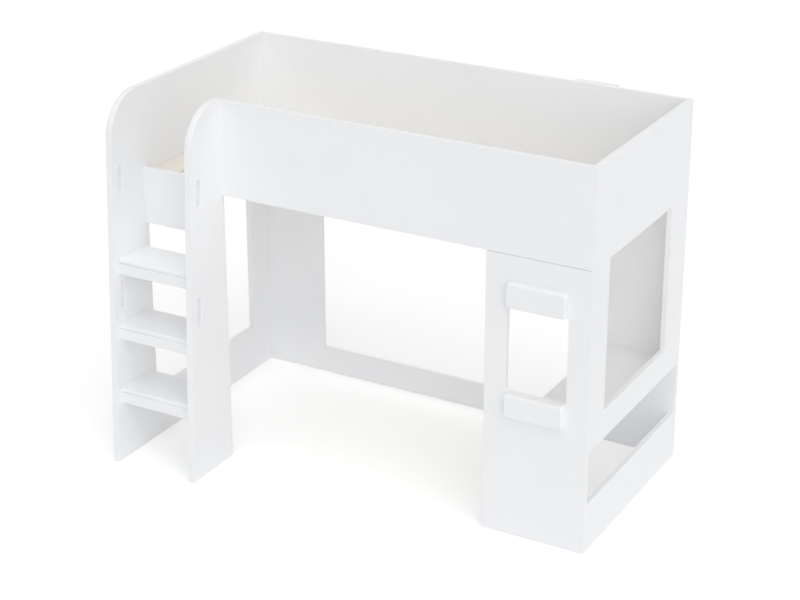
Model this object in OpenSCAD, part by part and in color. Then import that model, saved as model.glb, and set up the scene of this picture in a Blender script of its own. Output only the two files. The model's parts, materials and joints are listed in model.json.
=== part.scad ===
// Cabin bed: a raised single bed over an open play den, built from painted boards that are joined with
// cams, bolts and dowels. The ladder boards stand out in front at the left end. At the right end a front
// panel with a small window and a low shelf make a corner of the den.
// Bed coordinates: X runs from the ladder end to the window end, Y from the guard's face to the back and
// Z up from the floor. placed() moves them so that the origin is on the floor under the middle.

/* [Bed] */
// Overall length
bed_len = 2064; // [1960:1:2200]
// Depth of the bed itself, without the ladder and the wall block
bed_w = 946; // [880:1:1100]
// Overall height
bed_h = 1600; // [1520:1:1700]
// Height of the guards above the den
guard_h = 405; // [370:1:440]
// Thickness of the painted panels
panel_t = 22; // [20:0.5:25]
// Thickness of the two boards that carry the ladder
side_t = 28; // [25:0.5:32]

/* [Ladder boards] */
// Clear width between the ladder boards
ladder_w = 358; // [320:1:420]
// How far the ladder boards stand out at the floor
ladder_foot = 271; // [250:1:300]
// How far they stand out at the top
ladder_top = 194; // [180:1:220]
// Radius of their rounded top corner
corner_r = 180; // [120:1:190]
// Width of a hand slot
slot_w = 24; // [20:1:32]
// Distance from the front edge to the middle of a hand slot
slot_inset = 56; // [44:1:62]
// Height of the middle of the upper hand slot
upper_slot_z = 1249; // [1180:1:1300]
// Length of the upper hand slot
upper_slot_len = 120; // [100:1:160]
// Height of the middle of the lower hand slot
lower_slot_z = 741; // [715:1:765]
// Length of the lower hand slot
lower_slot_len = 134; // [110:1:160]
// Radius of the hand slots' rims
slot_rim_r = 2; // [1:0.5:6]

/* [Steps] */
// Height of the lowest tread
step_z = 330; // [300:1:350]
// Height from one tread to the next
step_pitch = 289; // [270:1:295]
// Thickness of a tread
tread_t = 20; // [20:0.5:28]
// How far the treads stay behind the ladder boards' front edges
tread_recess = 30; // [10:1:45]
// Space between the treads and the entry board's front face
tread_back_gap = 20; // [0:1:40]
// Radius of a tread's front edges
tread_edge_r = 6; // [2:0.5:9]
// Height of the apron under a tread
apron_h = 46; // [30:1:60]
// Thickness of the apron
apron_t = 18; // [16:0.5:22]
// Radius of the apron's front upper edge
apron_edge_r = 2; // [1:0.5:6]

/* [Entry board] */
// How far the entry board reaches below the guard's lower edge
entry_drop = 191; // [150:1:200]
// How far it reaches above the guard's lower edge
entry_lip = 53; // [40:1:80]

/* [Window panel] */
// Width of the front panel with the window
window_panel_w = 443; // [400:1:520]
// Width of the window
window_w = 256; // [200:1:280]
// Distance from the guard's lower edge down to the window
window_drop = 208; // [180:1:240]
// Height of the window
window_h = 363; // [320:1:380]
// Radius of the window's corners
window_r = 15; // [5:1:30]
// Height of the shadow gap between the panel and the guard
seam_h = 2.5; // [1:0.5:3]
// Depth of that gap
seam_depth = 6; // [3:0.5:6.5]
// Width of the header and the sill
trim_w = 252; // [220:1:290]
// Height of the header and the sill
trim_h = 100; // [70:1:100]
// Thickness of the header and the sill
trim_t = 28; // [22:1:35]
// Radius of their corners
trim_r = 14; // [10:1:25]
// Radius of their front edges
trim_edge_r = 8; // [2:0.5:10]

/* [Ends and back] */
// Height of both ends' bottom rails
end_rail_h = 211; // [180:1:240]
// Width left behind the opening in the ladder end
left_end_back_w = 158; // [120:1:200]
// Height of the window end's lower edge, which the shelf is flush with
end_gap_top = 436; // [410:1:470]
// Height of the lower edge of the opening in the window end
end_opening_z = 560; // [530:1:600]
// Width left in front of that opening
end_opening_front_w = 153; // [120:1:180]
// Width left behind that opening
end_opening_back_w = 173; // [120:1:200]
// Width of the back's left post
back_post_w = 293; // [240:1:340]
// Width of the back's right panel
back_panel_w = 443; // [400:1:520]
// Height of the back's bottom rail
back_rail_h = 121; // [100:1:160]
// Depth of the shelf, measured along the bed
shelf_d = 318; // [280:1:380]

/* [Bed base] */
// Number of slats
slat_count = 12; // [11:1:13]
// Width of a slat
slat_w = 120; // [110:1:130]
// Thickness of a slat
slat_t = 15; // [14:0.5:20]
// Space at each end of a slat
slat_end_gap = 2; // [1:0.5:5]
// Space between the outermost slats and the ends of the bed
slat_side_gap = 1; // [0.5:0.5:3]
// Width of the bearers that the slats rest on
bearer_w = 30; // [26:1:40]
// Height of the bearers
bearer_h = 15; // [15:0.5:25]

/* [Wall block] */
// Width of the spacer block behind the back guard
block_w = 184; // [160:1:240]
// Depth of the block, which is the distance that it keeps from the wall
block_d = 28; // [20:1:60]
// Height of the block
block_h = 70; // [50:1:90]
// Distance from the window end to the block
block_end_gap = 336; // [250:1:400]
// Distance between the two wall fixing holes
fixing_pitch = 120; // [90:1:130]
// Diameter of the wall fixing holes in the back of the block
fixing_d = 6; // [5:0.5:8]
// Wood left in front of those holes
fixing_wall = 9; // [5:1:15]

/* [Fittings] */
// Diameter of a cam
cam_d = 15; // [12:0.5:16]
// Distance from a seam to the cam's axis
cam_setback = 34; // [24:1:38]
// Diameter of a cam bolt
bolt_d = 6; // [5:0.5:7]
// Depth of a cam bolt in the board that it is screwed into
bolt_grip = 12; // [9:0.5:12]
// Diameter of a dowel
dowel_d = 8; // [6:0.5:8]
// Length of a dowel
dowel_len = 35; // [30:1:40]
// Depth of a dowel in the board whose face it meets
dowel_grip = 12; // [9:0.5:12]
// Radial clearance of fittings in their holes
fit_gap = 0.1; // [0.05:0.05:0.2]
// Diameter of the wood screws
screw_d = 4; // [3:0.5:4.5]
// Diameter of their countersunk heads
screw_head_d = 8; // [7:0.5:9]
// Length of the screws through bearers and trims
long_screw = 40; // [35:1:42]
// Length of the screws through slats
slat_screw = 26; // [24:1:28]
// Depth of the wall block's screws in the back guard
block_screw_grip = 14; // [10:1:18]

/* [Hidden] */
$fn = 48;
SLATS = [for (i = [1 : slat_count]) str("slat_", i < 10 ? "0" : "", i)];

X = [1, 0, 0];
Y = [0, 1, 0];
Z = [0, 0, 1];
paint = [0.92, 0.92, 0.93];
pine = [0.89, 0.85, 0.76];
beech = [0.80, 0.64, 0.44];
zinc = [0.72, 0.73, 0.75];
seam_stop = 10;                                 // how far the shadow gap stays from the window end
cut_over = 1;                                   // how far a cut runs past the face that it opens
cam_wall = 4;                                   // cam height past the middle of its board
cam_slot_gap = 0.6;                             // room for the bolt's end inside a cam
cam_cross = [9, 1.6, 2];                        // length, width and depth of the driver cross in a cam
bolt_reach = 3;                                 // how far a bolt's end passes the cam's axis
dowel_spare = 1;                                // empty depth behind a dowel in the edge board
head_rim = 1;                                   // what a screw head's depth adds to its 45 degree cone
head_h = (screw_head_d - screw_d) / 2 + head_rim;
cam_inset = 60;                                 // from a seam's ends to its first and last cams
dowel_inset = 110;                              // from a seam's ends to its first and last dowels
short_cam_inset = 45;                           // the same for the cams of a short seam
short_dowel_inset = 20;                         // and for its dowels
top_dowel_inset = 135;                          // and for the dowels on top of the wide panels
tread_inset = 35;                               // from a tread's front and back edges to its dowels
trim_screw_inset = 40;                          // from the ends of a header or sill to its screws
block_screw_inset = 14;                         // from the wall block's ends to its screws

guard_z = bed_h - guard_h;                      // lower edge of the guards
inner_x = bed_len - panel_t;                    // inner face of the window end
inner_back = bed_w - panel_t;                   // inner face of the back
side_x = side_t + ladder_w;                     // left face of the free ladder board
guard_x = side_x + side_t;                      // left end of the front guard
entry_z = guard_z - entry_drop;
window_panel_x = bed_len - window_panel_w;
window_mid_x = bed_len - window_panel_w / 2;
window_z = guard_z - window_drop - window_h;    // lower edge of the window
back_post_x = side_t + back_post_w;
back_panel_x = bed_len - back_panel_w;
shelf_x = inner_x - shelf_d;
slat_z = guard_z + bearer_h;
slat_run = inner_x - side_t - 2 * slat_side_gap;
slat_gap = (slat_run - slat_count * slat_w) / (slat_count - 1);
block_x = bed_len - block_end_gap - block_w;
block_mid_x = block_x + block_w / 2;
block_mid_z = bed_h - block_h / 2;
middle_y = (bed_w + block_d - ladder_foot) / 2;

// Front edges of the ladder boards lean back by this many mm for each mm of height
lean = (ladder_foot - ladder_top) / bed_h;
lean_norm = sqrt(1 + lean * lean);
corner_z = bed_h - corner_r;
corner_y = corner_r * lean_norm + lean * corner_z - ladder_foot;
corner_start_z = corner_z + corner_r * lean / lean_norm;

function front_y(z) = lean * z - ladder_foot;
function tread_top(i) = step_z + i * step_pitch;
function tread_y(i) = front_y(tread_top(i)) + tread_recess;
function tread_depth(i) = -tread_back_gap - tread_y(i);
function slat_x(i) = side_t + slat_side_gap + (i - 1) * (slat_w + slat_gap);
function spread(from, to, count, inset) =
    [for (i = [0 : count - 1]) from + inset + i * (to - from - 2 * inset) / (count - 1)];

// A fitting is [point on the seam, direction into the board whose edge meets the seam, side of its cam]
steps = [0, 1, 2];
tread_cams = [for (i = steps, s = [0, 1])
    let (y = tread_y(i) + tread_depth(i) / 2)
    [[s == 0 ? side_t : side_x, y, tread_top(i) - tread_t / 2], s == 0 ? X : -X, -Z, tread_t]];
tread_dowels = [for (i = steps, s = [0, 1], y = spread(tread_y(i), -tread_back_gap, 2, tread_inset))
    [[s == 0 ? side_t : side_x, y, tread_top(i) - tread_t / 2], s == 0 ? X : -X, -Z]];
apron_dowels = [for (i = steps, s = [0, 1])
    let (z = tread_top(i) - tread_t - apron_h / 2)
    [[s == 0 ? side_t : side_x, tread_y(i) + apron_t / 2, z], s == 0 ? X : -X, -Z]];
entry_cams = [for (z = spread(entry_z, guard_z, 2, short_cam_inset), s = [0, 1])
    [[s == 0 ? side_t : side_x, panel_t / 2, z], s == 0 ? X : -X, Y, panel_t]];
entry_dowels = [for (z = spread(entry_z, guard_z, 2, short_dowel_inset), s = [0, 1])
    [[s == 0 ? side_t : side_x, panel_t / 2, z], s == 0 ? X : -X, Y]];
guard_cams = [for (z = spread(guard_z, bed_h, 3, cam_inset)) [[guard_x, panel_t / 2, z], X, Y, panel_t]];
guard_dowels = [for (z = spread(guard_z, bed_h, 2, dowel_inset)) [[guard_x, panel_t / 2, z], X, Y]];

// Window end: its front edges meet the front boards and its back edges the back boards
end_mid_x = bed_len - panel_t / 2;
end_cam_z = concat(spread(0, end_rail_h, 2, short_cam_inset), spread(end_gap_top, guard_z, 3, cam_inset),
    spread(guard_z, bed_h, 2, cam_inset));
end_dowel_z = concat([end_rail_h / 2], spread(end_gap_top, guard_z, 2, dowel_inset),
    spread(guard_z, bed_h, 2, dowel_inset));
end_cams = [for (z = end_cam_z, s = [0, 1])
    [[end_mid_x, s == 0 ? panel_t : inner_back, z], s == 0 ? Y : -Y, -X, panel_t]];
end_dowels = [for (z = end_dowel_z, s = [0, 1])
    [[end_mid_x, s == 0 ? panel_t : inner_back, z], s == 0 ? Y : -Y, -X]];

// Ladder end: the back boards' left ends meet its inner face. The cams of all back boards are at the rear
back_mid_y = bed_w - panel_t / 2;
back_end_cams = [for (z = concat(spread(0, guard_z, 3, cam_inset), spread(guard_z, bed_h, 2, cam_inset)))
    [[side_t, back_mid_y, z], X, Y, panel_t]];
back_end_dowels = [for (z = concat(spread(0, guard_z, 2, dowel_inset), spread(guard_z, bed_h, 2, dowel_inset)))
    [[side_t, back_mid_y, z], X, -Y]];

// Shelf: cams underneath, towards the window end, the window panel and the back
shelf_mid_z = end_gap_top + panel_t / 2;
shelf_mid_x = shelf_x + shelf_d / 2;
shelf_cams = concat(
    [for (y = spread(panel_t, inner_back, 3, cam_inset)) [[inner_x, y, shelf_mid_z], -X, -Z, panel_t]],
    [[[shelf_mid_x, panel_t, shelf_mid_z], Y, -Z, panel_t],
     [[shelf_mid_x, inner_back, shelf_mid_z], -Y, -Z, panel_t]]);
shelf_dowels = concat(
    [for (y = spread(panel_t, inner_back, 2, dowel_inset)) [[inner_x, y, shelf_mid_z], -X, -Z]],
    [for (x = spread(shelf_x, inner_x, 2, cam_inset)) [[x, panel_t, shelf_mid_z], Y, -Z]],
    [for (x = spread(shelf_x, inner_x, 2, cam_inset)) [[x, inner_back, shelf_mid_z], -Y, -Z]]);

// Lower boards: their top edges meet the guards' lower edges
front_top_cams = [for (x = spread(window_panel_x, inner_x, 2, cam_inset))
    [[x, panel_t / 2, guard_z], -Z, Y, panel_t]];
front_top_dowels = [for (x = spread(window_panel_x, inner_x, 3, top_dowel_inset))
    [[x, panel_t / 2, guard_z], -Z, Y]];
back_top_cam_x = concat(spread(side_t, back_post_x, 2, cam_inset), spread(back_panel_x, inner_x, 2, cam_inset));
back_top_dowel_x = concat(spread(side_t, back_post_x, 2, dowel_inset),
    spread(back_panel_x, inner_x, 3, top_dowel_inset));
back_top_cams = [for (x = back_top_cam_x) [[x, back_mid_y, guard_z], -Z, Y, panel_t]];
back_top_dowels = [for (x = back_top_dowel_x) [[x, back_mid_y, guard_z], -Z, -Y]];
rail_cams = [[[back_post_x, back_mid_y, back_rail_h / 2], X, Y, panel_t],
             [[back_panel_x, back_mid_y, back_rail_h / 2], -X, Y, panel_t]];
rail_dowels = [for (z = spread(0, back_rail_h, 2, short_dowel_inset), s = [0, 1])
    [[s == 0 ? back_post_x : back_panel_x, back_mid_y, z], s == 0 ? X : -X, -Y]];

all_cams = concat(tread_cams, entry_cams, guard_cams, end_cams, back_end_cams, shelf_cams, front_top_cams,
    back_top_cams, rail_cams);
all_dowels = concat(tread_dowels, apron_dowels, entry_dowels, guard_dowels, end_dowels, back_end_dowels,
    shelf_dowels, front_top_dowels, back_top_dowels, rail_dowels);

// A screw is [middle of its head's face, direction that it is driven in, any direction across, length]
bearer_screw_x = [for (i = [1 : 2 : slat_count - 1]) slat_x(i) + slat_w + slat_gap / 2];
front_bearer_screws = [for (x = bearer_screw_x)
    [[x, panel_t + bearer_w, guard_z + bearer_h / 2], -Y, X, long_screw]];
back_bearer_screws = [for (x = bearer_screw_x)
    [[x, inner_back - bearer_w, guard_z + bearer_h / 2], Y, X, long_screw]];
slat_screws_at = [for (i = [1 : slat_count], y = [panel_t + bearer_w / 2, inner_back - bearer_w / 2])
    [[slat_x(i) + slat_w / 2, y, slat_z + slat_t], -Z, X, slat_screw]];
trim_screw_x = spread(window_mid_x - trim_w / 2, window_mid_x + trim_w / 2, 2, trim_screw_inset);
trim_screws_at = [for (x = trim_screw_x,
    z = [window_z - trim_h / 2, window_z + window_h + trim_h / 2]) [[x, panel_t, z], -Y, X, long_screw]];
block_screws_at = [for (x = spread(block_x, block_x + block_w, 2, block_screw_inset))
    [[x, bed_w + block_d, block_mid_z], -Y, X, block_d + block_screw_grip]];

module placed() {
    translate([-bed_len / 2, -middle_y, 0]) children();
}

// Turns local Z into the fitting's direction and local Y towards its cam side
module at_fitting(f) {
    p = f[0];
    n = f[1];
    side = f[2];
    across = cross(side, n);
    multmatrix([[across[0], side[0], n[0], p[0]], [across[1], side[1], n[1], p[1]],
                [across[2], side[2], n[2], p[2]]]) children();
}

// Hole for a bolt across the seam and the round pocket for its cam, in a board of thickness t
module cam_holes(t) {
    bore_d = bolt_d + 2 * fit_gap;
    translate([0, 0, -bolt_grip]) cylinder(d = bore_d, h = bolt_grip + cam_setback);
    translate([0, t / 2 + cut_over, cam_setback]) rotate([90, 0, 0])
        cylinder(d = cam_d + 2 * fit_gap, h = t / 2 + cam_wall + cut_over);
}

module dowel_hole() {
    translate([0, 0, -dowel_grip]) cylinder(d = dowel_d + 2 * fit_gap, h = dowel_len + dowel_spare);
}

module screw(length, gap) {
    cylinder(d = screw_d + 2 * gap, h = length);
    cylinder(d1 = screw_head_d + 2 * gap, d2 = screw_d + 2 * gap, h = head_h);
}

module drill_cams(list) {
    for (f = list) at_fitting(f) cam_holes(f[3]);
}

module drill_dowels(list) {
    for (f = list) at_fitting(f) dowel_hole();
}

module drill_screws(list) {
    for (f = list) at_fitting(f) screw(f[3], fit_gap);
}

// Draws a profile given in Y and Z as a board of thickness t whose left face is at x
module side_board(x, t) {
    translate([x, 0, 0]) rotate([90, 0, 90]) linear_extrude(height = t) children();
}

// Leaning front edge with a round top corner, as far back as back_y
module ladder_profile(back_y) {
    difference() {
        polygon([[-ladder_foot, 0], [back_y, 0], [back_y, bed_h], [-ladder_top, bed_h]]);
        difference() {
            translate([-ladder_foot, corner_start_z])
                square([corner_y + ladder_foot, corner_r]);
            translate([corner_y, corner_z]) circle(r = corner_r, $fn = 180);
        }
        hand_slot(upper_slot_z, upper_slot_len);
        hand_slot(lower_slot_z, lower_slot_len);
    }
}

// Slot with round ends, parallel to the leaning front edge
module hand_slot(z, length) {
    translate([front_y(z) + slot_inset, z]) rotate(-atan(lean)) {
        square([slot_w, length - slot_w], center = true);
        for (s = [-1, 1]) translate([0, s * (length - slot_w) / 2]) circle(d = slot_w);
    }
}

// What a slot's rim takes away at a face, from the slot's middle outwards; the face is at y = 0
module rim_section() {
    difference() {
        translate([0, -cut_over]) square([slot_w / 2 + slot_rim_r, slot_rim_r + cut_over]);
        translate([slot_w / 2 + slot_rim_r, slot_rim_r]) circle(r = slot_rim_r);
    }
}

// Rounded rim around one slot, cut into the face at z = 0
module slot_rim(z, length) {
    run = length - slot_w;
    translate([front_y(z) + slot_inset, z, 0]) rotate([0, 0, -atan(lean)]) {
        for (s = [-1, 1]) translate([0, s * run / 2, 0]) rotate_extrude() rim_section();
        translate([0, run / 2, 0]) rotate([90, 0, 0]) linear_extrude(height = run) {
            rim_section();
            mirror([1, 0]) rim_section();
        }
    }
}

// Rims on both faces of the ladder board whose left face is at x
module slot_rims(x) {
    translate([x, 0, 0]) rotate([90, 0, 90]) for (far = [0, 1])
        translate([0, 0, far * side_t]) mirror([0, 0, far]) {
            slot_rim(upper_slot_z, upper_slot_len);
            slot_rim(lower_slot_z, lower_slot_len);
        }
}

// Rectangle with round corners, from its lower left corner
module round_rect(size, r) {
    translate([r, 0]) square([size[0] - 2 * r, size[1]]);
    translate([0, r]) square([size[0], size[1] - 2 * r]);
    for (x = [r, size[0] - r], y = [r, size[1] - r]) translate([x, y]) circle(r = r);
}

// Draws a profile given in X and Z as a board of thickness t whose front face is at y
module front_board(y, t) {
    translate([0, y + t, 0]) rotate([90, 0, 0]) linear_extrude(height = t) children();
}

module left_end_panel() {
    color(paint) placed() difference() {
        side_board(0, side_t) difference() {
            ladder_profile(bed_w);
            translate([panel_t, end_rail_h])
                square([bed_w - left_end_back_w - panel_t, guard_z - end_rail_h]);
        }
        slot_rims(0);
        drill_cams(concat(tread_cams, entry_cams, back_end_cams));
        drill_dowels(concat(tread_dowels, apron_dowels, entry_dowels, back_end_dowels));
    }
}

module ladder_side() {
    color(paint) placed() difference() {
        side_board(side_x, side_t) ladder_profile(panel_t);
        slot_rims(side_x);
        drill_cams(concat(tread_cams, entry_cams, guard_cams));
        drill_dowels(concat(tread_dowels, apron_dowels, entry_dowels, guard_dowels));
    }
}

module entry_board() {
    color(paint) placed() difference() {
        translate([side_t, 0, entry_z]) cube([ladder_w, panel_t, entry_drop + entry_lip]);
        drill_cams(entry_cams);
        drill_dowels(entry_dowels);
        drill_screws(front_bearer_screws);
    }
}

module front_guard() {
    color(paint) placed() difference() {
        translate([guard_x, 0, guard_z]) cube([bed_len - guard_x, panel_t, guard_h]);
        drill_cams(concat(guard_cams, end_cams, front_top_cams));
        drill_dowels(concat(guard_dowels, end_dowels, front_top_dowels));
        drill_screws(front_bearer_screws);
    }
}

module window_panel() {
    color(paint) placed() difference() {
        front_board(0, panel_t) difference() {
            translate([window_panel_x, 0]) square([window_panel_w, guard_z]);
            translate([window_mid_x - window_w / 2, window_z]) round_rect([window_w, window_h], window_r);
        }
        translate([window_panel_x - cut_over, -cut_over, guard_z - seam_h])
            cube([window_panel_w - seam_stop + cut_over, seam_depth + cut_over, seam_h + cut_over]);
        drill_cams(concat(end_cams, front_top_cams, shelf_cams));
        drill_dowels(concat(end_dowels, front_top_dowels, shelf_dowels));
        drill_screws(trim_screws_at);
    }
}

// Section across a header or sill of width w, back at y = 0, with rounded front edges
module trim_section(w) {
    translate([-w / 2, trim_edge_r - trim_t]) square([w, trim_t - trim_edge_r]);
    translate([trim_edge_r - w / 2, -trim_t]) square([w - 2 * trim_edge_r, trim_t]);
    for (s = [-1, 1]) translate([s * (w / 2 - trim_edge_r), trim_edge_r - trim_t]) circle(r = trim_edge_r);
}

// Header or sill from the height z up: two bars that cross, and four turned corners
module window_trim(z) {
    color(paint) placed() difference() {
        translate([window_mid_x, 0, z + trim_h / 2]) {
            translate([0, 0, trim_r - trim_h / 2]) linear_extrude(height = trim_h - 2 * trim_r)
                trim_section(trim_w);
            translate([trim_w / 2 - trim_r, 0, 0]) rotate([0, -90, 0])
                linear_extrude(height = trim_w - 2 * trim_r) trim_section(trim_h);
            for (x = [-1, 1], y = [-1, 1])
                translate([x * (trim_w / 2 - trim_r), 0, y * (trim_h / 2 - trim_r)]) rotate([-90, 0, 0])
                    rotate_extrude() intersection() {
                        trim_section(2 * trim_r);
                        translate([0, -trim_t]) square([trim_r, trim_t]);
                    }
        }
        drill_screws(trim_screws_at);
    }
}

module window_header() {
    window_trim(window_z + window_h);
}

module window_sill() {
    window_trim(window_z - trim_h);
}

module right_end_panel() {
    opening_w = bed_w - end_opening_front_w - end_opening_back_w;
    color(paint) placed() difference() {
        translate([inner_x, panel_t, end_gap_top]) cube([panel_t, inner_back - panel_t, bed_h - end_gap_top]);
        translate([inner_x - cut_over, end_opening_front_w, end_opening_z])
            cube([panel_t + 2 * cut_over, opening_w, guard_z - end_opening_z]);
        drill_cams(concat(end_cams, shelf_cams));
        drill_dowels(concat(end_dowels, shelf_dowels));
    }
}

module right_end_rail() {
    color(paint) placed() difference() {
        translate([inner_x, panel_t, 0]) cube([panel_t, inner_back - panel_t, end_rail_h]);
        drill_cams(end_cams);
        drill_dowels(end_dowels);
    }
}

module back_guard() {
    color(paint) placed() difference() {
        translate([side_t, inner_back, guard_z]) cube([bed_len - side_t, panel_t, guard_h]);
        drill_cams(concat(end_cams, back_end_cams, back_top_cams));
        drill_dowels(concat(end_dowels, back_end_dowels, back_top_dowels));
        drill_screws(concat(back_bearer_screws, block_screws_at));
    }
}

module back_left_post() {
    color(paint) placed() difference() {
        translate([side_t, inner_back, 0]) cube([back_post_w, panel_t, guard_z]);
        drill_cams(concat(back_end_cams, back_top_cams, rail_cams));
        drill_dowels(concat(back_end_dowels, back_top_dowels, rail_dowels));
    }
}

module back_bottom_rail() {
    color(paint) placed() difference() {
        translate([back_post_x, inner_back, 0]) cube([back_panel_x - back_post_x, panel_t, back_rail_h]);
        drill_cams(rail_cams);
        drill_dowels(rail_dowels);
    }
}

module back_right_panel() {
    color(paint) placed() difference() {
        translate([back_panel_x, inner_back, 0]) cube([back_panel_w, panel_t, guard_z]);
        drill_cams(concat(end_cams, back_top_cams, rail_cams, shelf_cams));
        drill_dowels(concat(end_dowels, back_top_dowels, rail_dowels, shelf_dowels));
    }
}

module desk_shelf() {
    color(paint) placed() difference() {
        translate([shelf_x, panel_t, end_gap_top]) cube([shelf_d, inner_back - panel_t, panel_t]);
        drill_cams(shelf_cams);
        drill_dowels(shelf_dowels);
    }
}

// What rounding off takes from a corner at the origin
module corner_cut(r) {
    difference() {
        square([r, r]);
        translate([r, r]) circle(r = r);
    }
}

// Tread with rounded front edges
module tread(i) {
    color(paint) placed() difference() {
        side_board(side_t, ladder_w) translate([tread_y(i), tread_top(i) - tread_t]) difference() {
            square([tread_depth(i), tread_t]);
            corner_cut(tread_edge_r);
            translate([0, tread_t]) mirror([0, 1]) corner_cut(tread_edge_r);
        }
        drill_cams(tread_cams);
        drill_dowels(tread_dowels);
    }
}

// Apron under a tread's front edge; with the tread's lower edge it leaves a soft groove
module apron(i) {
    color(paint) placed() difference() {
        side_board(side_t, ladder_w) translate([tread_y(i), tread_top(i) - tread_t - apron_h]) difference() {
            square([apron_t, apron_h]);
            translate([0, apron_h]) mirror([0, 1]) corner_cut(apron_edge_r);
        }
        drill_dowels(apron_dowels);
    }
}

module bearer(y, screws) {
    color(pine) placed() difference() {
        translate([side_t, y, guard_z]) cube([inner_x - side_t, bearer_w, bearer_h]);
        drill_screws(screws);
        drill_screws(slat_screws_at);
    }
}

module slat(i) {
    color(pine) placed() difference() {
        translate([slat_x(i), panel_t + slat_end_gap, slat_z])
            cube([slat_w, inner_back - panel_t - 2 * slat_end_gap, slat_t]);
        drill_screws(slat_screws_at);
    }
}

// Two blind holes in the block's back, for whatever ties the bed to a wall
module wall_fixing_holes() {
    for (s = [-1, 1]) translate([block_mid_x + s * fixing_pitch / 2, bed_w + fixing_wall, block_mid_z])
        rotate([-90, 0, 0]) cylinder(d = fixing_d, h = block_d - fixing_wall + cut_over);
}

module wall_block() {
    color(paint) placed() difference() {
        translate([block_x, bed_w, bed_h - block_h]) cube([block_w, block_d, block_h]);
        drill_screws(block_screws_at);
        wall_fixing_holes();
    }
}

// Cam with a driver cross in its face and a slot for the bolt's end
module cams() {
    slot_d = bolt_d + 2 * cam_slot_gap;
    color(zinc) placed() for (f = all_cams) at_fitting(f) difference() {
        translate([0, f[3] / 2, cam_setback]) rotate([90, 0, 0]) cylinder(d = cam_d, h = f[3] / 2 + cam_wall);
        translate([-slot_d / 2, -slot_d, cam_setback - cam_d])
            cube([slot_d, 1.5 * slot_d, cam_d + bolt_reach + cam_slot_gap]);
        for (turn = [45, 135]) translate([0, f[3] / 2, cam_setback]) rotate([0, turn, 0])
            cube([cam_cross[0], 2 * cam_cross[2], cam_cross[1]], center = true);
    }
}

module cam_bolts() {
    color(zinc) placed() for (f = all_cams) at_fitting(f)
        translate([0, 0, -bolt_grip]) cylinder(d = bolt_d, h = bolt_grip + cam_setback + bolt_reach);
}

module dowels() {
    color(beech) placed() for (f = all_dowels) at_fitting(f)
        translate([0, 0, -dowel_grip]) cylinder(d = dowel_d, h = dowel_len);
}

module screws(list) {
    color(zinc) placed() for (f = list) at_fitting(f) screw(f[3], 0);
}

left_end_panel();
ladder_side();
entry_board();
front_guard();
window_panel();
window_header();
window_sill();
right_end_panel();
right_end_rail();
back_guard();
back_left_post();
back_bottom_rail();
back_right_panel();
desk_shelf();
tread(0);  // lower_tread
tread(1);  // middle_tread
tread(2);  // upper_tread
apron(0);  // lower_apron
apron(1);  // middle_apron
apron(2);  // upper_apron
bearer(panel_t, front_bearer_screws);  // front_bearer
bearer(inner_back - bearer_w, back_bearer_screws);  // back_bearer
wall_block();
cams();
cam_bolts();
dowels();
screws(concat(front_bearer_screws, back_bearer_screws));  // bearer_screws
screws(slat_screws_at);  // slat_screws
screws(trim_screws_at);  // trim_screws
screws(block_screws_at);  // wall_block_screws
for (i = [1 : slat_count]) slat(i);
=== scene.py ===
"""Looks for the cabin bed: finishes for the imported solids, eased edges, floor, light and camera.

All sizes are in metres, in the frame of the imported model. The origin is on the floor under the middle. +X
runs from the ladder end to the window end, +Y runs from the ladder side to the back, and +Z is up.
"""
import json
import math

import bpy
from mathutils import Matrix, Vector

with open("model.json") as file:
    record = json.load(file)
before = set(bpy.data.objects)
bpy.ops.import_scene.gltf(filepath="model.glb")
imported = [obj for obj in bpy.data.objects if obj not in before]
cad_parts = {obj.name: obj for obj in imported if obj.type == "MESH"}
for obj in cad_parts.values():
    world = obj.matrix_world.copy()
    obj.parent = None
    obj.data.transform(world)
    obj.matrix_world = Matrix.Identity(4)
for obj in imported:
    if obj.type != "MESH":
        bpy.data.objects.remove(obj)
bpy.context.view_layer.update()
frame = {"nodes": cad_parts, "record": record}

# Camera
CAMERA_TARGET = Vector((-0.0310, 0.0891, 1.0140))
CAMERA_AZIMUTH = 29.26                 # degrees, 0 looks along +Y
CAMERA_ELEVATION = 21.38               # degrees above the horizon
CAMERA_DISTANCE = 7.993
CAMERA_LENS = 86.8                     # mm on a 36 mm sensor
CAMERA_SHIFT_Y = -0.09

# Light
WORLD_COLOUR = (0.985, 0.992, 1.0)
WORLD_LIGHT = 0.445                    # strength of the even light from all round
LAMPS = {                              # azimuth and elevation in degrees, and strength
    "key": (50.0, 30.0, 0.95),
    "front": (20.0, 45.0, 0.30),
    "top": (0.0, 90.0, 0.76),
}
LAMP_ANGLE = math.radians(60)          # apparent size, which makes their shadows soft
LAMP_DISTANCE = 6.0                    # only for show, as a sun lamp lights the same from any distance
MAX_BOUNCES = 16                       # light reaches the den by many bounces between white boards
DIFFUSE_BOUNCES = 12

# Floor
FLOOR_SIZE = 120.0
FLOOR_DROP = 0.0005                    # keeps it clear of the pieces that stand on it
FLOOR_BOUNCE = (0.95, 0.95, 0.95)      # what it gives back to the object
FLOOR_SEEN = (1.0, 1.0, 1.0)           # what the camera sees of it
FLOOR_MOTTLE = (0.985, 0.985, 0.985)   # faint patches in that
FLOOR_ROUGHNESS = 0.9
FLOOR_LIFT = 0.17                      # what the camera sees it brightened by

# Eased edges
EDGE_RADIUS = {"white_lacquer": 0.0006, "pine": 0.0014, "beech": 0.0005, "zinc_steel": 0.0002}
EDGE_SEGMENTS = 3
EDGE_ANGLE = math.radians(50)          # edges sharper than this are eased
FLAT_ANGLE = math.radians(0.02)        # facets that lie this flat to each other become one face
WELD_DISTANCE = 2e-6

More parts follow.
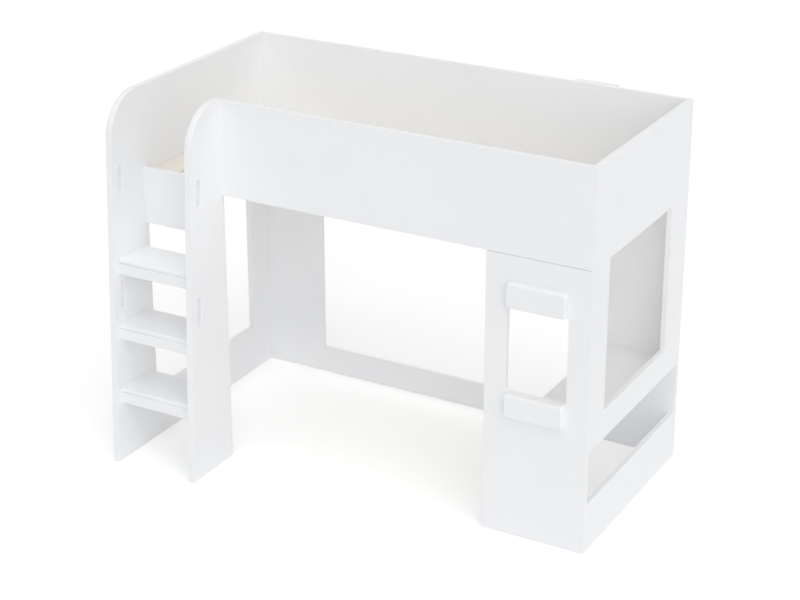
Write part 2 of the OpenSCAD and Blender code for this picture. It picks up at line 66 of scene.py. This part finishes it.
# Colours of the finishes
WHITE = (0.908, 0.914, 0.927)
WHITE_DEEP = (0.984, 0.986, 0.990)     # factors on WHITE: in the deeper patches,
WHITE_LIGHT = (1.008, 1.007, 1.005)    # in the lighter patches,
WHITE_HANDLED = (0.93, 0.925, 0.91)    # and where hands have dulled it
SLAT_PALE = (0.88, 0.845, 0.775)
SLAT_DARK = (0.78, 0.705, 0.59)
SLAT_EDGE_PALE = (0.865, 0.825, 0.75)
SLAT_EDGE_DARK = (0.765, 0.69, 0.57)
BEARER_PALE = (0.87, 0.835, 0.76)
BEARER_DARK = (0.77, 0.695, 0.58)
PINE_KNOT = (0.36, 0.22, 0.12)
BEECH_PALE = (0.62, 0.43, 0.25)
BEECH_DARK = (0.48, 0.30, 0.16)
BEECH_KNOT = (0.30, 0.17, 0.09)
ZINC = (0.66, 0.68, 0.70)

# Lacquer
HANDLED_FACE = 0.10                    # how strongly the marks of hands show on faces,
HANDLED_EDGE = 0.35                    # and how much more they do on edges
WIPED_FACE = 0.06                      # how much rougher wiping leaves the faces,
WIPED_EDGE = 0.08                      # and how much more it roughens the edges
LACQUER_IOR = 1.47
COAT_WEIGHT = 0.15
COAT_ROUGHNESS = 0.22

# How strongly the marks of the other finishes show
RING_STRENGTH = 0.42
KNOT_STRENGTH = 0.8
DULL_STRENGTH = 0.4

# Axes that a grain can run along
ALONG_X = 0
ALONG_Y = 1

# Sockets of the Mix node when it blends colours, by number because their names repeat
MIX_FACTOR = 0
MIX_FIRST = 6
MIX_SECOND = 7
MIX_COLOUR = 2


# ---------------------------------------------------------------- shader nodes

class Shader:
    """A material with one surface shader, and short calls that add its other nodes."""

    def __init__(self, name):
        self.material = bpy.data.materials.new(name)
        self.material.use_nodes = True
        self.nodes = self.material.node_tree.nodes
        self.links = self.material.node_tree.links
        self.nodes.clear()
        self.surface = self.nodes.new("ShaderNodeBsdfPrincipled")
        out = self.nodes.new("ShaderNodeOutputMaterial")
        self.links.new(self.surface.outputs["BSDF"], out.inputs["Surface"])
        self.place = self.nodes.new("ShaderNodeTexCoord").outputs["Object"]

    def set(self, node, name, value):
        """Links value to an input if it is a socket, and writes it there if not."""
        if isinstance(value, bpy.types.NodeSocket):
            self.links.new(value, node.inputs[name])
        else:
            node.inputs[name].default_value = value

    def stretch(self, x, y, z):
        """Object coordinates scaled by x, y and z."""
        node = self.nodes.new("ShaderNodeMapping")
        self.links.new(self.place, node.inputs["Vector"])
        node.inputs["Scale"].default_value = (x, y, z)
        return node.outputs["Vector"]

    def noise(self, scale, detail=2.0, roughness=0.5, place=None, distortion=0.0):
        node = self.nodes.new("ShaderNodeTexNoise")
        self.links.new(place or self.place, node.inputs["Vector"])
        self.set(node, "Scale", scale)
        self.set(node, "Detail", detail)
        self.set(node, "Roughness", roughness)
        self.set(node, "Distortion", distortion)
        return node.outputs["Fac"]

    def cells(self, scale, place=None):
        """Distance to the nearest of many scattered points."""
        node = self.nodes.new("ShaderNodeTexVoronoi")
        self.links.new(place or self.place, node.inputs["Vector"])
        self.set(node, "Scale", scale)
        return node.outputs["Distance"]

    def spread(self, value, low, high, to_low=0.0, to_high=1.0):
        """Maps low..high of value to to_low..to_high, and holds it there."""
        node = self.nodes.new("ShaderNodeMapRange")
        self.links.new(value, node.inputs["Value"])
        node.inputs["From Min"].default_value = low
        node.inputs["From Max"].default_value = high
        node.inputs["To Min"].default_value = to_low
        node.inputs["To Max"].default_value = to_high
        return node.outputs["Result"]

    def mix(self, factor, first, second):
        """Goes from the first colour to the second as factor goes from 0 to 1."""
        node = self.nodes.new("ShaderNodeMix")
        node.data_type = "RGBA"
        self.set(node, MIX_FACTOR, factor)
        for socket, colour in ((MIX_FIRST, first), (MIX_SECOND, second)):
            linked = isinstance(colour, bpy.types.NodeSocket)
            self.set(node, socket, colour if linked else (*colour, 1.0))
        return node.outputs[MIX_COLOUR]

    def compute(self, operation, first, second):
        node = self.nodes.new("ShaderNodeMath")
        node.operation = operation
        self.set(node, 0, first)
        self.set(node, 1, second)
        return node.outputs[0]

    def bump(self, height, distance, strength=1.0, under=None):
        """Adds relief, on top of the relief under it if there is one."""
        node = self.nodes.new("ShaderNodeBump")
        self.set(node, "Height", height)
        self.set(node, "Distance", distance)
        self.set(node, "Strength", strength)
        if under is not None:
            self.links.new(under, node.inputs["Normal"])
        return node.outputs["Normal"]


def background_ray(nodes, links):
    """A socket that is 1 for what is seen, mirrored or looked through, and 0 for what lights the object."""
    path = nodes.new("ShaderNodeLightPath")
    seen = path.outputs["Is Camera Ray"]
    for kind in ("Is Glossy Ray", "Is Transmission Ray"):
        either = nodes.new("ShaderNodeMath")
        either.operation = "MAXIMUM"
        links.new(seen, either.inputs[0])
        links.new(path.outputs[kind], either.inputs[1])
        seen = either.outputs[0]
    return seen


def tinted(base, factors):
    """The colour base with each of its channels times a factor."""
    return tuple(channel * factor for channel, factor in zip(base, factors))


def shaded(base, factor):
    """The colour base with all of its channels times one factor."""
    return tuple(channel * factor for channel in base)


# ---------------------------------------------------------------- finishes

def lacquer(name, base, rubbed):
    """Sprayed satin lacquer. rubbed is how much handling shows, from 0 on faces to 1 on edges."""
    paint = Shader(name)
    surface = paint.surface
    patches = paint.spread(paint.noise(scale=2.4, detail=3.0), low=0.3, high=0.7)
    colour = paint.mix(patches, tinted(base, WHITE_DEEP), tinted(base, WHITE_LIGHT))
    touched = paint.noise(scale=26.0, detail=6.0, roughness=0.65)
    handled = paint.spread(touched, low=0.56, high=0.74, to_high=HANDLED_FACE + HANDLED_EDGE * rubbed)
    colour = paint.mix(handled, colour, tinted(base, WHITE_HANDLED))
    paint.set(surface, "Base Color", colour)

    sheen = paint.noise(scale=9.0, detail=4.0, roughness=0.6)
    sheen = paint.spread(sheen, low=0.3, high=0.7, to_low=0.33, to_high=0.43)
    wiped = paint.noise(scale=1.0, detail=5.0, roughness=0.6, place=paint.stretch(x=60, y=60, z=6))
    wiped = paint.spread(wiped, low=0.45, high=0.75, to_high=WIPED_FACE + WIPED_EDGE * rubbed)
    paint.set(surface, "Roughness", paint.compute("ADD", sheen, wiped))

    flow = paint.bump(paint.noise(scale=55.0), distance=0.00012, strength=0.5)
    peel = paint.noise(scale=620.0, roughness=0.55)
    paint.set(surface, "Normal", paint.bump(peel, distance=0.00003, strength=0.6, under=flow))
    surface.inputs["IOR"].default_value = LACQUER_IOR
    surface.inputs["Coat Weight"].default_value = COAT_WEIGHT
    surface.inputs["Coat Roughness"].default_value = COAT_ROUGHNESS
    return paint.material


def timber(name, pale, dark, knot, along):
    """Planed wood whose grain runs along one axis: stretched growth lines, fine pores and a few knots."""
    wood = Shader(name)

    def run(across, down):
        """Object coordinates scaled by across over the grain and by down along it."""
        return wood.stretch(*[down if axis == along else across for axis in range(3)])

    sweep = wood.noise(scale=1.0, detail=3.0, place=run(across=26, down=1.1), distortion=0.6)
    lines = wood.nodes.new("ShaderNodeTexWave")
    lines.wave_type = "BANDS"
    lines.bands_direction = "DIAGONAL"
    lines.wave_profile = "SAW"
    wood.set(lines, "Vector", run(across=34, down=0.7))
    wood.set(lines, "Scale", 1.0)
    wood.set(lines, "Distortion", 5.5)
    wood.set(lines, "Detail", 3.0)
    wood.set(lines, "Detail Scale", 0.9)
    rings = wood.spread(lines.outputs["Fac"], low=0.25, high=0.95)
    colour = wood.mix(wood.compute("MULTIPLY", rings, RING_STRENGTH), pale, dark)
    colour = wood.mix(wood.spread(sweep, low=0.35, high=0.7, to_high=0.35), colour, dark)
    pores = wood.noise(scale=1.0, detail=4.0, roughness=0.7, place=run(across=900, down=26))
    colour = wood.mix(wood.spread(pores, low=0.58, high=0.74, to_high=0.30), colour, dark)

    spots = wood.cells(scale=1.0, place=run(across=9.0, down=3.1))
    spots = wood.spread(spots, low=0.02, high=0.085, to_low=1.0, to_high=0.0)
    chosen = wood.noise(scale=1.0, detail=0.0, place=run(across=3.7, down=1.3))
    knots = wood.compute("MULTIPLY", spots, wood.spread(chosen, low=0.52, high=0.56))
    colour = wood.mix(wood.compute("MULTIPLY", knots, KNOT_STRENGTH), colour, knot)
    wood.set(wood.surface, "Base Color", colour)

    wood.set(wood.surface, "Roughness", wood.spread(pores, low=0.3, high=0.7, to_low=0.52, to_high=0.68))
    grain = wood.bump(pores, distance=0.00010, strength=0.55)
    grain = wood.bump(rings, distance=0.00012, strength=0.35, under=grain)
    wood.set(wood.surface, "Normal", grain)
    return wood.material


def zinc_plate(name, base):
    """Bright plated steel: fine spangle, fine pitting and a few dull spots."""
    metal = Shader(name)
    surface = metal.surface
    spangle = metal.spread(metal.cells(scale=900.0), low=0.1, high=0.8)
    colour = metal.mix(spangle, shaded(base, 1.06), shaded(base, 0.88))
    dull = metal.spread(metal.noise(scale=160.0, detail=4.0, roughness=0.6), low=0.52, high=0.72)
    colour = metal.mix(metal.compute("MULTIPLY", dull, DULL_STRENGTH), colour, shaded(base, 0.7))
    metal.set(surface, "Base Color", colour)
    surface.inputs["Metallic"].default_value = 1.0
    sheen = metal.noise(scale=420.0, detail=3.0)
    metal.set(surface, "Roughness", metal.spread(sheen, low=0.3, high=0.7, to_low=0.26, to_high=0.46))
    metal.set(surface, "Normal", metal.bump(metal.noise(scale=2400.0), distance=0.00002, strength=0.5))
    return metal.material


finishes = {
    "white_lacquer": lacquer("white_lacquer_face", WHITE, rubbed=0.0),
    "pine": timber("pine_planed", SLAT_PALE, SLAT_DARK, PINE_KNOT, ALONG_Y),
    "beech": timber("beech_turned", BEECH_PALE, BEECH_DARK, BEECH_KNOT, ALONG_X),
    "zinc_steel": zinc_plate("zinc_plate", ZINC),
}
edge_finishes = {
    "white_lacquer": lacquer("white_lacquer_edge", WHITE, rubbed=1.0),
    "pine": timber("pine_eased_edge", SLAT_EDGE_PALE, SLAT_EDGE_DARK, PINE_KNOT, ALONG_Y),
}
bearer_pine = timber("pine_bearer", BEARER_PALE, BEARER_DARK, PINE_KNOT, ALONG_X)


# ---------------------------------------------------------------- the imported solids

def finish_node(name, obj, slot):
    """Gives one CAD node its finish and eases its edges."""
    face = bearer_pine if name.endswith("_bearer") else finishes[slot]
    obj.data.materials.clear()
    obj.data.materials.append(face)
    obj.data.materials.append(edge_finishes.get(slot, face))
    weld = obj.modifiers.new("weld", "WELD")
    weld.merge_threshold = WELD_DISTANCE
    flat = obj.modifiers.new("whole faces", "DECIMATE")
    flat.decimate_type = "DISSOLVE"
    flat.angle_limit = FLAT_ANGLE
    bevel = obj.modifiers.new("eased edges", "BEVEL")
    bevel.width = EDGE_RADIUS[slot]
    bevel.segments = EDGE_SEGMENTS
    bevel.limit_method = "ANGLE"
    bevel.angle_limit = EDGE_ANGLE
    bevel.use_clamp_overlap = False
    bevel.loop_slide = False
    bevel.harden_normals = True
    bevel.material = 1                 # the edge finish, appended second


slot_of = {part["node"]: part["material_slot"] for part in frame["record"]["subparts"]}
for node_name, node_object in frame["nodes"].items():
    finish_node(node_name, node_object, slot_of[node_name])


# ---------------------------------------------------------------- floor, light and camera

def floor_finish():
    """Pale and matt: it bounces FLOOR_BOUNCE onto the object, and is seen almost white."""
    matt = Shader("pale_floor")
    surface = matt.surface
    mottle = matt.spread(matt.noise(scale=1.3, detail=4.0), low=0.3, high=0.7)
    seen = matt.mix(mottle, FLOOR_MOTTLE, FLOOR_SEEN)
    shown = background_ray(matt.nodes, matt.links)
    matt.set(surface, "Base Color", matt.mix(shown, FLOOR_BOUNCE, seen))
    matt.set(surface, "Emission Strength", matt.compute("MULTIPLY", shown, FLOOR_LIFT))
    surface.inputs["Emission Color"].default_value = (1.0, 1.0, 1.0, 1.0)
    surface.inputs["Roughness"].default_value = FLOOR_ROUGHNESS
    surface.inputs["Specular IOR Level"].default_value = 0.0
    return matt.material


def add_floor():
    half = FLOOR_SIZE / 2
    corners = [(-half, -half, 0), (half, -half, 0), (half, half, 0), (-half, half, 0)]
    mesh = bpy.data.meshes.new("floor")
    mesh.from_pydata(corners, [], [(0, 1, 2, 3)])
    mesh.materials.append(floor_finish())
    obj = bpy.data.objects.new("floor", mesh)
    bpy.context.scene.collection.objects.link(obj)
    obj.location.z = -FLOOR_DROP


def add_world():
    """Even light from all round, in front of a white background."""
    world = bpy.data.worlds.new("studio")
    bpy.context.scene.world = world
    world.use_nodes = True
    nodes = world.node_tree.nodes
    links = world.node_tree.links
    nodes.clear()
    light = nodes.new("ShaderNodeBackground")
    light.inputs["Color"].default_value = (*WORLD_COLOUR, 1.0)
    light.inputs["Strength"].default_value = WORLD_LIGHT
    white = nodes.new("ShaderNodeBackground")
    white.inputs["Color"].default_value = (1.0, 1.0, 1.0, 1.0)
    blend = nodes.new("ShaderNodeMixShader")
    links.new(background_ray(nodes, links), blend.inputs["Fac"])
    links.new(light.outputs["Background"], blend.inputs[1])
    links.new(white.outputs["Background"], blend.inputs[2])
    out = nodes.new("ShaderNodeOutputWorld")
    links.new(blend.outputs["Shader"], out.inputs["Surface"])


def towards(azimuth, elevation):
    """Direction from the object to a lamp or camera; azimuth 0 is in front and 90 at the window end."""
    turn = math.radians(azimuth)
    rise = math.radians(elevation)
    return Vector((math.sin(turn) * math.cos(rise), -math.cos(turn) * math.cos(rise), math.sin(rise)))


def aim(name, data, target, direction, distance):
    """Adds a lamp or camera at a distance from target in a direction, looking back at it, and returns it."""
    obj = bpy.data.objects.new(name, data)
    bpy.context.scene.collection.objects.link(obj)
    obj.location = target + direction * distance
    obj.rotation_mode = "QUATERNION"
    obj.rotation_quaternion = (-direction).to_track_quat("-Z", "Y")
    return obj


def add_lamp(name, azimuth, elevation, strength):
    data = bpy.data.lights.new(name, "SUN")
    data.energy = strength
    data.angle = LAMP_ANGLE
    aim(name, data, Vector(), towards(azimuth, elevation), LAMP_DISTANCE)


def add_camera():
    data = bpy.data.cameras.new("camera")
    data.lens = CAMERA_LENS
    data.shift_y = CAMERA_SHIFT_Y
    direction = towards(CAMERA_AZIMUTH, CAMERA_ELEVATION)
    bpy.context.scene.camera = aim("camera", data, CAMERA_TARGET, direction, CAMERA_DISTANCE)


bpy.context.scene.view_settings.view_transform = "Standard"
bpy.context.scene.cycles.max_bounces = MAX_BOUNCES
bpy.context.scene.cycles.diffuse_bounces = DIFFUSE_BOUNCES
add_floor()
add_world()
for lamp_name, lamp in LAMPS.items():
    add_lamp(lamp_name, *lamp)
add_camera()
